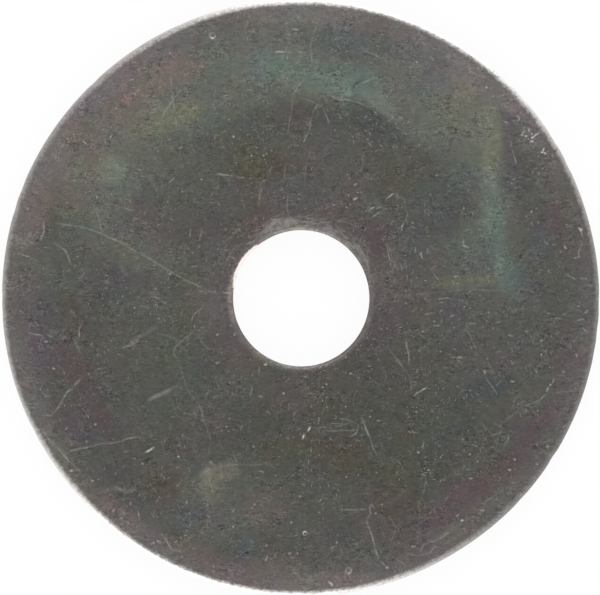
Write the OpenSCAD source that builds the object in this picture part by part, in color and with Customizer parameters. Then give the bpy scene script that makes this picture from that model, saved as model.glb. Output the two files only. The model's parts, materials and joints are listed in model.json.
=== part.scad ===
// Large flat washer, punched from sheet steel in one stroke and then zinc plated.
// It lies flat with its rolled edges up. The origin is on the underside, at the centre of the bore.
// Lengths are in millimetres and angles in degrees.

/* [Plate] */
// Outer diameter, across the straight part of the rim
outer_d = 38.1; // [30:0.1:50]
// Bore diameter, across its straight wall
bore_d = 8.7; // [7:0.1:14]
// Thickness of the sheet
thickness = 1.6; // [1.2:0.1:3]

/* [Rolled edges of the top face] */
// Width of the rolled edge at the rim, seen from above
rim_roll_w = 0.46; // [0.3:0.02:0.6]
// Drop of the rolled edge at the rim
rim_roll_h = 0.2; // [0.06:0.02:0.2]
// Width of the rolled edge at the bore, seen from above
bore_roll_w = 0.24; // [0.15:0.01:0.5]
// Drop of the rolled edge at the bore
bore_roll_h = 0.12; // [0.05:0.01:0.15]

/* [Sheared walls] */
// Height of the smooth, straight band of the rim
rim_land_h = 0.6; // [0.3:0.05:0.8]
// Height of the smooth, straight band of the bore
bore_land_h = 0.7; // [0.3:0.05:0.85]
// How far the torn band of the rim has run in by the underside
rim_tear_w = 0.14; // [0.04:0.02:0.24]
// How far the torn band of the bore has run out by the underside
bore_tear_w = 0.12; // [0.04:0.02:0.24]
// Width of the break that tumbling leaves on the two edges of the underside
edge_break = 0.05; // [0.02:0.01:0.1]

/* [Worn lip of the bore] */
// Direction of the worn place from +X, turning towards +Y
wear_angle = 150; // [0:1:359]
// Angle from the middle of the worn place to either end of it
wear_half_span = 30; // [26:1:40]
// Width of the worn place at the top face, measured from the straight wall
wear_w = 0.2; // [0.18:0.01:0.28]
// How far the worn place reaches down the wall
wear_h = 0.7; // [0.4:0.05:1]

/* [Hidden] */
$fn = 180;

rim_r = outer_d / 2;
bore_r = bore_d / 2;
rim_foot_r = rim_r - rim_tear_w;
bore_foot_r = bore_r + bore_tear_w;
rim_tear_top = thickness - rim_roll_h - rim_land_h;
bore_tear_top = thickness - bore_roll_h - bore_land_h;
clear = 0.5; // how far a cutting shape stands clear of what it cuts

// Radius of an arc that leaves a flat face smoothly and has dropped by `drop` after `width`
function roll_radius(width, drop) = (width * width + drop * drop) / (2 * drop);

// What the press rolls off a sharp corner. The corner is at the origin, with the metal below it and to
// its left. The arc leaves the flat face smoothly and ends at the wall in a crisp line.
module roll_cut(width, drop) {
    arc_r = roll_radius(width, drop);
    difference() {
        translate([-width, -drop]) square([width + clear, drop + clear]);
        translate([-width, -arc_r]) circle(r = arc_r);
    }
}

// Half of the washer's section: X is the distance from the axis. Each wall has a rolled edge, a straight
// band where the sheet was cut, and below that a sloping band where it tore.
module section() {
    difference() {
        polygon([
            [bore_r, thickness],
            [rim_r, thickness],
            [rim_r, rim_tear_top],
            [rim_foot_r, edge_break],
            [rim_foot_r - edge_break, 0],
            [bore_foot_r + edge_break, 0],
            [bore_foot_r, edge_break],
            [bore_r, bore_tear_top],
        ]);
        translate([rim_r, thickness]) roll_cut(rim_roll_w, rim_roll_h);
        translate([bore_r, thickness]) mirror([1, 0]) roll_cut(bore_roll_w, bore_roll_h);
    }
}

// The crescent that a bolt has worn off one side of the bore's lip: a cone set off centre, so that the
// worn place is widest in the middle, runs out at both ends and comes to a point down the wall.
module worn_lip() {
    off_centre = wear_w / (1 - cos(wear_half_span));
    lip_r = bore_r + wear_w - off_centre;
    slope = wear_w / wear_h;
    below = wear_h + clear;
    rotate([0, 0, wear_angle])
        translate([off_centre, 0, thickness - below])
            cylinder(h = below + clear, r1 = lip_r - slope * below, r2 = lip_r + slope * clear);
}

module washer() {
    color([0.37, 0.365, 0.35])
        difference() {
            rotate_extrude() section();
            worn_lip();
        }
}

washer();
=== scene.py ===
"""A worn, zinc-plated flat washer, lying on a pale floor and seen from straight above.

Lengths are in millimetres until a mesh, lamp or camera is made, and then in metres. Angles are in degrees,
from +X towards +Y. Places that were read off the photograph are in its pixels, as named marks and fields.
"""

import json
import math
import random

import bpy
import numpy as np
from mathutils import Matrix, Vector, noise
from mathutils.geometry import delaunay_2d_cdt


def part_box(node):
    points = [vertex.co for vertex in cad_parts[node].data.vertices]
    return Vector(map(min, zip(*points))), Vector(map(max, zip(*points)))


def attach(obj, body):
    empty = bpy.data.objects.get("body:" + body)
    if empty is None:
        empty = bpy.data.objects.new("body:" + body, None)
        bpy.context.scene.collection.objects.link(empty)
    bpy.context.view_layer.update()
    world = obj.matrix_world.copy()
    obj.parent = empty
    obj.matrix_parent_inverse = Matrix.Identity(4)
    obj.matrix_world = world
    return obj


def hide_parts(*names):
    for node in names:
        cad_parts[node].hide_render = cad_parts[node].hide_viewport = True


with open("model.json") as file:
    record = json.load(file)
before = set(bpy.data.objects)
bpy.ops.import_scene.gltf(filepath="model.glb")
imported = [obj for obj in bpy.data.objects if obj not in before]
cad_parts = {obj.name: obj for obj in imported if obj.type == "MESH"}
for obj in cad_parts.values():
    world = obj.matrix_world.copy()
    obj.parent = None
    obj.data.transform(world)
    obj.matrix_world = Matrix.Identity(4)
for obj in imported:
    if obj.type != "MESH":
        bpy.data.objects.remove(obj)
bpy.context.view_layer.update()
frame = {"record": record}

# Sizes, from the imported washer
MM = 0.001
low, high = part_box("washer")
BORE = next(m for m in frame["record"]["mounts"] if m["name"] == "bore")
RIM_R = (high.x - low.x) / 2 / MM
BORE_R = BORE["dims"]["r_mm"]
THICK = (high.z - low.z) / MM

# The sheared section: each wall has a rolled edge, a straight band and a torn band, and then a broken edge
RIM_WALL = {"roll_w": 0.46, "roll_h": 0.20, "land_h": 0.60, "tear_w": 0.14}
BORE_WALL = {"roll_w": 0.24, "roll_h": 0.12, "land_h": 0.70, "tear_w": 0.12}
EDGE_BREAK = 0.05

# How each part of the section varies round a wall: the share of its size, waves and a seed of each sway
UNEVEN = {
    "roll_w": ((0.08, 9, 0), (0.06, 120, 5)),
    "roll_h": ((0.06, 7, 9), (0.05, 160, 7)),
    "land_h": ((0.25, 24, 13), (0.15, 90, 17)),
}
RAGGED_TEAR = 0.022
RAGGED_WAVES = 150

# Where the rim's outline strays from a true circle: azimuth, half span and how far
OUTLINE = {
    "right": (20, 18, -0.035),
    "upper left": (157, 24, 0.045),
    "lower left": (220, 28, -0.075),
    "lower right": (301, 16, -0.03),
}

# How far the hole sits from the outline's centre
BORE_SHIFT = (0.042, -0.035)

# The place that a bolt has worn off the bore's lip. Its bare metal fades out a short way beyond its edge,
# and is at its full from a little inside its upper edge to a little beyond its foot.
WEAR_ANGLE = 150
WEAR_HALF_SPAN = 30
WEAR_W = 0.20
WEAR_H = 0.70
WEAR_FADE = 0.14
WEAR_FULL_ABOVE = 0.03
WEAR_FULL_BELOW = -0.07
WEAR_MOST = 1.15

# How many random features there are, besides the crowded scratches, and how far they keep from the edges
RIM_DINGS = 30
BORE_DINGS = 9
TOP_SCRATCHES = 260
BORE_SCUFFS = 26
UNDER_SCRATCHES = 190
UNDER_DENTS = 14
FACE_MARGIN = 0.6
CROWD_MARGIN = 0.4

# How fine the mesh is: steps round and down the walls, the grid of a face and the points along a mark
RIM_STEPS = 720
BORE_STEPS = 256
ROLL_STEPS = 7
TEAR_STEPS = 6
FACE_PITCH = 0.5
ROW_PITCH = FACE_PITCH * 0.866
JITTER = 0.08
MARK_PITCH = 0.15

# Rows of points just inside a face's edges, and how far from the edges the grid and the marks stop
RIM_GUARDS = (0.09, 0.22)
BORE_GUARDS = (0.1, 0.2)
GRID_MARGIN = 0.3
RIM_MARGIN = 0.06
BORE_MARGIN = 0.05

# Where a cell of this size holds a point of a mark, the grid has none
CROWDED_CELL = 0.25

# What each vertex of the mesh says about its place. The first is bare zinc, painted glints and painted
# highlight where it is above 0, and painted shade and a painted dark fill where it is below 0
ZONES = ("bared", "worn", "rolled", "land", "torn", "upper")

# The photograph: its frame, and where the washer lies in it
FRAME_W, FRAME_H = 600, 595
RIM_CENTRE_X, RIM_CENTRE_Y, RIM_RADIUS = 300.1, 297.2, 298.7
PIXEL = RIM_R / RIM_RADIUS

rng = random.Random(11)


def at(x, y):
    """The place on the washer's face that a pixel of the photograph shows, in millimetres."""
    return ((x - RIM_CENTRE_X) * PIXEL, (RIM_CENTRE_Y - y) * PIXEL)


def sway(angle, waves, seed):
    """A smooth random value from about -1 to 1 that goes round the washer with that many waves or so."""
    a = math.radians(angle)
    reach = waves / 4
    return 2 * noise.noise(Vector((reach * math.cos(a), reach * math.sin(a), seed)))


def smooth(x):
    """Rises smoothly from 0 to 1 as x does, and stays level outside."""
    x = np.clip(x, 0, 1)
    return x * x * (3 - 2 * x)


# A mark's points: across its line, and ahead of its ends and to their side, in half widths
MARK_ACROSS = (0, 1, -1, 1.7, -1.7, 2.9, -2.9)
MARK_ENDS = ((1.7, 0), (1.3, 1.2), (1.3, -1.2), (3.0, 0))

# How far a mark strays from its line in mm, and how it fades towards its ends
MARK_STRAY, LIGHT_STRAY = 0.05, 0.02
END_FADE = 0.3
END_STRENGTH, LIGHT_END_STRENGTH = 0.4, 0.75

# Across a mark, in half widths from its line: where its lips and the painted shade beside them lie and how
# strong they are, and how far the bare metal, which is a painted glint in a bright mark, and the whole mark
# reach
LIP_AT, LIP_HALF, LIP_SHARE = 1.4, 0.6, 0.3
EDGE_SHADE_AT, EDGE_SHADE_HALF, EDGE_SHADE_SHARE = 1.8, 0.6, 0.25
BARE_AND_GLINT_REACH = 1.3
MARK_REACH = 3

# The photograph's blur adds this many pixels to a nick's length
NICK_BLUR = 3
SHORTEST_NICK = 0.6

# Kinds of mark on a face: width and depth in mm
KINDS = {
    "tick": (0.06, 0.003),
    "hair": (0.08, 0.004),
    "fine": (0.10, 0.007),
    "plain": (0.12, 0.010),
    "broad": (0.26, 0.012),
    "deep": (0.14, 0.020),
    "glint": (0.12, 0.018),
    "gouge": (0.20, 0.030),
}

# Marks on the top face: kind, brightness and a line in pixels of the photograph. A brightness well above 1
# is a painted glint, and a dark one is painted dark along its groove.
MARKS = {
    "long scratch": ("plain", 0.26, (55, 223), (65, 224), (80, 226), (92, 230), (101, 233), (121, 242),
                     (135, 250), (150, 259), (170, 271), (190, 282), (204, 289)),
    "its branch": ("fine", 0.24, (93, 205), (96, 212), (99, 220), (101, 232)),
    "left tick": ("plain", 0.66, (43, 222), (44, 230), (40, 239)),
    "left bow": ("plain", 0.34, (53, 243), (57, 245), (65, 250), (69, 258), (71, 264)),
    "left dash": ("fine", 0.34, (12, 254), (20, 253), (28, 256), (36, 260)),
    "scuff at the left rim": ("broad", 0.40, (14, 234), (15, 239), (16, 244)),
    "upper left dash": ("fine", 0.22, (115, 205), (122, 207), (130, 209), (134, 210)),
    "faint curve left": ("broad", 0.12, (120, 263), (122, 270), (127, 276)),
    "rim's long line": ("fine", 0.20, (20, 205), (28, 183), (40, 160)),
    "rim's second line": ("hair", 0.18, (24, 206), (32, 186), (43, 164)),
    "left stem": ("fine", 0.38, (82, 321), (79, 329), (79, 337)),
    "left slant": ("fine", 0.28, (72, 337), (76, 344), (79, 352)),
    "left level": ("fine", 0.38, (25, 331), (30, 333), (37, 334), (43, 335)),
    "line at the left rim": ("hair", 0.26, (10, 355), (18, 362), (23, 373)),
    "left rub": ("plain", 0.40, (122, 347), (130, 345), (136, 342), (138, 338)),
    "hazy stroke left": ("broad", 0.14, (124, 348), (134, 339), (146, 333), (156, 326)),
    "hazy loop": ("broad", 0.07, (117, 318), (122, 307), (134, 302), (145, 305), (150, 313)),
    "lower left nick": ("deep", 0.42, (80, 379), (74, 385), (66, 392), (62, 400), (58, 407), (53, 412)),
    "nick's foot": ("fine", 0.36, (42, 415), (52, 415)),
    "wavy scratch": ("plain", 0.31, (70, 450), (85, 447), (92, 445), (100, 443), (110, 443), (120, 441),
                     (128, 438), (137, 437), (145, 438)),
    "broad rub": ("broad", 0.42, (147, 400), (152, 397), (160, 394), (170, 389)),
    "broad rub's tail": ("fine", 0.20, (170, 389), (178, 385)),
    "left glint": ("glint", 1.70, (145, 452), (149, 450), (154, 447)),
    "pale streak": ("broad", 0.26, (105, 490), (112, 487), (118, 488), (126, 491), (135, 489)),
    "line by the lower rim": ("plain", 0.28, (38, 422), (47, 437), (55, 445), (65, 456), (70, 462),
                              (79, 470)),
    "lower left stroke": ("fine", 0.52, (137, 511), (139, 520)),
    "zigzag": ("plain", 0.34, (160, 533), (164, 537), (168, 544), (172, 550), (176, 549), (181, 551)),
    "crack, upper end": ("fine", 0.30, (204, 303), (200, 309), (195, 313), (192, 317), (191, 322)),
    "crack": ("fine", 0.26, (194, 324), (193, 330), (186, 336), (180, 342), (175, 347), (173, 352),
              (177, 358)),
    "crack, middle": ("fine", 0.17, (177, 358), (179, 365), (181, 372), (184, 380), (187, 388), (190, 394)),
    "crack, lower": ("fine", 0.20, (190, 394), (199, 405), (202, 412), (203, 419), (206, 428), (210, 440)),
    "crack's foot": ("hair", 0.15, (210, 440), (207, 460), (205, 480), (208, 510), (206, 528)),
    "crack's branch": ("fine", 0.16, (195, 331), (200, 338), (203, 344), (208, 349), (214, 348)),
    "faint level": ("fine", 0.17, (156, 333), (165, 335), (172, 337)),
    "streak over the spot": ("broad", 0.14, (197, 476), (205, 471), (212, 468), (222, 466)),
    "streak's end": ("fine", 0.22, (222, 466), (235, 464), (250, 465), (262, 464)),
    "second streak": ("broad", 0.14, (208, 461), (214, 464), (218, 468)),
    "spot's upright": ("plain", 0.20, (206, 473), (209, 480), (211, 487), (213, 496)),
    "dark by the spot": ("broad", -0.45, (203, 467), (206, 460), (214, 458), (222, 459)),
    "hair below middle": ("hair", 0.20, (232, 450), (234, 457), (237, 461)),
    "hook": ("plain", 0.23, (387, 345), (392, 353), (398, 361), (402, 366), (406, 371),
             (409, 377), (411, 386), (412, 392)),
    "hook's twin": ("plain", 0.46, (406, 340), (406, 347), (408, 355), (408, 364)),
    "hook's glint": ("fine", 0.80, (413, 395), (419, 391), (426, 387)),
    "low glint": ("glint", 2.40, (302, 438), (304, 434)),
    "low glint's end": ("glint", 2.40, (308, 430), (310, 426)),
    "line from the glint": ("fine", 0.20, (311, 432), (318, 428), (325, 425)),
    "tuft, top": ("hair", 0.26, (326, 427), (331, 423), (345, 424), (352, 421)),
    "tuft, middle": ("hair", 0.34, (325, 430), (335, 430), (345, 430), (356, 429)),
    "tuft, low": ("fine", 0.30, (349, 436), (355, 433), (357, 430), (358, 424)),
    "tuft, over": ("hair", 0.26, (338, 418), (346, 419), (356, 423)),
    "tuft, inner": ("hair", 0.56, (335, 426), (342, 425)),
    "broken upright": ("fine", 0.50, (318, 424), (319, 417)),
    "broken upright, next": ("fine", 0.30, (321, 414), (323, 408)),
    "broken upright, end": ("hair", 0.24, (325, 402), (327, 396)),
    "short bow": ("plain", 0.42, (361, 417), (364, 423), (366, 430), (369, 436), (371, 441), (373, 450)),
    "short bow's tail": ("fine", 0.16, (372, 447), (375, 452), (378, 457)),
    "bent line": ("fine", 0.50, (423, 440), (422, 449)),
    "bent line, middle": ("fine", 0.30, (417, 460), (419, 466), (422, 471), (424, 477)),
    "bent line, end": ("hair", 0.18, (425, 477), (424, 490), (420, 500), (419, 516)),
    "short twin": ("hair", 0.16, (429, 467), (430, 476)),
    "square hook": ("plain", 0.34, (341, 509), (352, 509), (365, 509)),
    "square hook's tip": ("fine", 0.40, (374, 508), (371, 504), (369, 508), (370, 514), (367, 518)),
    "square hook's leg": ("plain", 0.46, (366, 519), (367, 525), (370, 532), (372, 537),
                          (374, 543), (375, 549), (378, 558)),
    "leg's end": ("fine", 0.50, (381, 561), (385, 566)),
    "thin bow": ("hair", 0.24, (388, 514), (392, 521), (395, 528), (393, 535), (391, 541)),
    "short bow low": ("hair", 0.20, (320, 559), (326, 556), (332, 550), (335, 545)),
    "low slant": ("hair", 0.26, (391, 556), (398, 560), (404, 564)),
    "rim tick below": ("plain", 1.20, (328, 581), (333, 585), (338, 588)),
    "line along the low rim": ("fine", 0.30, (405, 553), (418, 555), (430, 552), (434, 546), (443, 548)),
    "line beside it": ("fine", 0.34, (419, 551), (424, 543), (434, 541), (443, 536), (450, 531)),
    "faint band lower right": ("broad", 0.06, (379, 503), (391, 503), (396, 498), (402, 491), (410, 488)),
    "long bow right, end": ("glint", 1.10, (553, 380), (552, 382)),
    "long bow right, spot": ("glint", 2.40, (550, 384), (550, 385)),
    "long bow right, cut": ("glint", 1.20, (548, 387), (546, 391)),
    "long bow right": ("fine", 0.40, (545, 394), (540, 399), (533, 402), (523, 406)),
    "long bow right, rest": ("plain", 0.18, (520, 409), (515, 412), (510, 416), (505, 421), (497, 427)),
    "fork below it": ("fine", 0.20, (498, 424), (502, 427), (507, 431), (497, 433), (491, 436)),
    "fork's leg": ("plain", 0.34, (508, 433), (508, 438), (505, 443), (503, 448)),
    "fork's neighbour": ("fine", 0.16, (480, 421), (485, 427), (489, 433)),
    "tick right": ("plain", 0.22, (464, 327), (469, 334), (472, 341), (477, 349)),
    "slant right": ("fine", 0.28, (482, 370), (487, 380), (493, 388), (497, 395)),
    "slant's twin": ("fine", 0.20, (487, 361), (490, 367), (493, 374)),
    "small v": ("fine", 0.34, (503, 374), (500, 381), (496, 385)),
    "faint upright right": ("fine", 0.18, (517, 395), (514, 400), (510, 409)),
    "right edge tick": ("plain", 0.70, (582, 327), (586, 331), (589, 334)),
    "stroke by the right rim": ("hair", 0.24, (534, 443), (545, 441), (552, 439)),
    "faint line by the right rim": ("hair", 0.16, (552, 393), (560, 392), (573, 390)),
    "lower right rub": ("plain", 0.17, (504, 488), (499, 493), (490, 498), (483, 503)),
    "hazy stroke": ("broad", 0.12, (432, 541), (444, 534), (456, 526), (468, 518)),
    "top dash": ("plain", 1.15, (275, 51), (283, 51)),
    "top dash, faint": ("fine", 0.30, (283, 51), (291, 52)),
    "top dash, end": ("plain", 0.40, (297, 51), (306, 52)),
    "top hair": ("hair", 0.24, (251, 10), (249, 17), (246, 25)),
    "top curl": ("fine", 0.24, (317, 25), (314, 30), (311, 42), (309, 50)),
    "top thread": ("fine", 0.26, (360, 46), (367, 52), (374, 54), (378, 57)),
    "arrow's shaft": ("fine", 0.26, (170, 74), (171, 90), (172, 97), (175, 115), (176, 127)),
    "arrow's wing": ("fine", 0.28, (181, 89), (172, 100), (165, 110), (160, 120)),
    "wide dash": ("plain", 0.18, (234, 85), (240, 81), (249, 77)),
    "hair above the bore": ("fine", 0.22, (300, 83), (295, 90), (292, 97), (291, 110), (289, 122),
                            (287, 133)),
    "dark gouge": ("gouge", -0.80, (354, 86), (358, 82), (362, 80)),
    "gouge's foot": ("fine", -0.50, (352, 90), (353, 87), (355, 85)),
    "gouge's bright lip": ("fine", 0.34, (360, 85), (364, 82), (370, 79), (376, 77)),
    "vein": ("fine", -0.50, (320, 92), (330, 98), (338, 102), (345, 101), (360, 105), (368, 110),
             (382, 120)),
    "vein's bright edge": ("fine", 0.26, (320, 95), (330, 95), (338, 99), (346, 99), (358, 102), (366, 107)),
    "second vein": ("fine", -0.40, (362, 100), (372, 107), (385, 118)),
    "curl": ("plain", 0.30, (318, 103), (313, 110), (310, 120), (309, 130), (305, 137), (303, 142)),
    "curl's arm": ("fine", 0.28, (318, 103), (323, 108), (326, 117), (328, 123)),
    "curl's back": ("fine", 0.22, (299, 97), (310, 100), (316, 103)),
    "curl's tail": ("hair", 0.18, (311, 148), (307, 160), (305, 170), (304, 181)),
    "dark dash": ("fine", -0.40, (392, 106), (407, 106)),
    "faint y": ("fine", 0.36, (468, 62), (469, 70), (476, 74)),
    "faint y's arm": ("fine", 0.20, (469, 70), (464, 76)),
    "upper left scratch": ("plain", 0.38, (216, 173), (224, 174), (233, 175)),
    "its end": ("plain", 0.70, (237, 177), (244, 177)),
    "stem": ("plain", 0.42, (261, 188), (259, 196), (259, 205)),
    "short uprights": ("plain", 0.32, (201, 228), (200, 235), (199, 241)),
    "second upright": ("plain", 0.30, (190, 228), (189, 237)),
    "zigzag above the bore": ("fine", 0.24, (262, 226), (266, 222), (270, 219), (276, 220), (280, 224)),
    "haze curl, right": ("broad", 0.28, (284, 231), (285, 222), (289, 218), (295, 222)),
    "haze curl": ("broad", 0.32, (270, 232), (271, 225), (275, 220), (280, 222), (279, 228)),
    "hair over the bore": ("fine", 0.24, (288, 190), (287, 200), (287, 208), (288, 216), (287, 225)),
    "bore's tangent": ("plain", 0.60, (246, 243), (252, 241), (256, 238.5), (261, 235.5), (267, 236)),
    "bore's tangent, outer": ("fine", 0.20, (236, 247), (240, 244), (243, 242.5)),
    "short tangent": ("fine", 0.30, (232, 234), (237, 230), (241, 227)),
    "tangent, left": ("fine", 0.50, (216, 250), (219, 246)),
    "tangent, left, next": ("fine", 0.30, (224, 242), (228, 237)),
    "level into the bore": ("fine", 0.30, (219, 249), (228, 250), (234, 253)),
    "second level": ("fine", 0.60, (228, 256), (234, 258)),
    "third level": ("fine", 0.60, (222, 291), (228, 293)),
    "twig's stroke": ("hair", 1.0, (368, 209), (374, 206)),
    "twig's second stroke": ("hair", 0.50, (376, 208), (382, 205)),
    "twig's end": ("fine", 0.90, (385, 199), (389, 196), (393, 193)),
    "twig's lower stroke": ("fine", 0.26, (369, 218), (374, 215), (380, 211)),
    "limb": ("plain", 0.24, (396, 190), (400, 196), (404, 200), (405, 207), (407, 214), (404, 221)),
    "limb's foot": ("plain", 0.95, (403, 224), (401, 227), (401, 230)),
    "limb's head": ("broad", 0.28, (395, 193), (399, 198)),
    "limb's curl": ("fine", 0.28, (408, 227), (412, 226), (416, 228)),
    "bristle": ("fine", 0.34, (386, 243), (387, 250), (389, 258), (391, 267)),
    "second bristle": ("fine", 0.30, (389, 245), (391, 256), (394, 265), (391, 272)),
    "third bristle": ("fine", 0.22, (393, 259), (395, 265), (397, 271)),
    "fourth bristle": ("fine", 0.28, (400, 261), (402, 271)),
    "fifth bristle": ("fine", 0.18, (404, 259), (406, 270)),
    "level line right": ("broad", 0.07, (371, 303), (380, 298), (392, 295), (410, 294), (436, 292)),
    "level line, end": ("fine", 0.14, (436, 292), (470, 289), (500, 290)),
    "line into the bore": ("plain", 0.24, (206, 290), (218, 292), (231, 293)),
    "right dash": ("plain", 1.40, (578, 227), (581, 231), (583, 238)),
    "right zigzag": ("fine", 0.50, (582, 242), (580, 247), (578, 252), (579, 257), (573, 258)),
    "right tick": ("plain", 0.70, (463, 239), (463, 245), (468, 247)),
    "faint dash right": ("fine", 0.42, (512, 150), (514, 156), (516, 163)),
    "hook's tail": ("fine", 0.80, (504, 121), (508, 123)),
    "hook by the rim": ("plain", 0.68, (511, 120), (518, 120), (519, 117), (516, 115)),
    "wing": ("plain", 1.05, (532, 137), (535, 134), (539, 132)),
    "slant by the right rim": ("fine", 0.34, (563, 272), (570, 276), (576, 279)),
    "low right stroke": ("fine", 0.16, (378, 366), (385, 372), (386, 379)),
    "upright by the bore": ("fine", 0.36, (259, 365), (258, 374)),
    "low stroke": ("fine", 0.34, (252, 385), (250, 397)),
}
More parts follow.
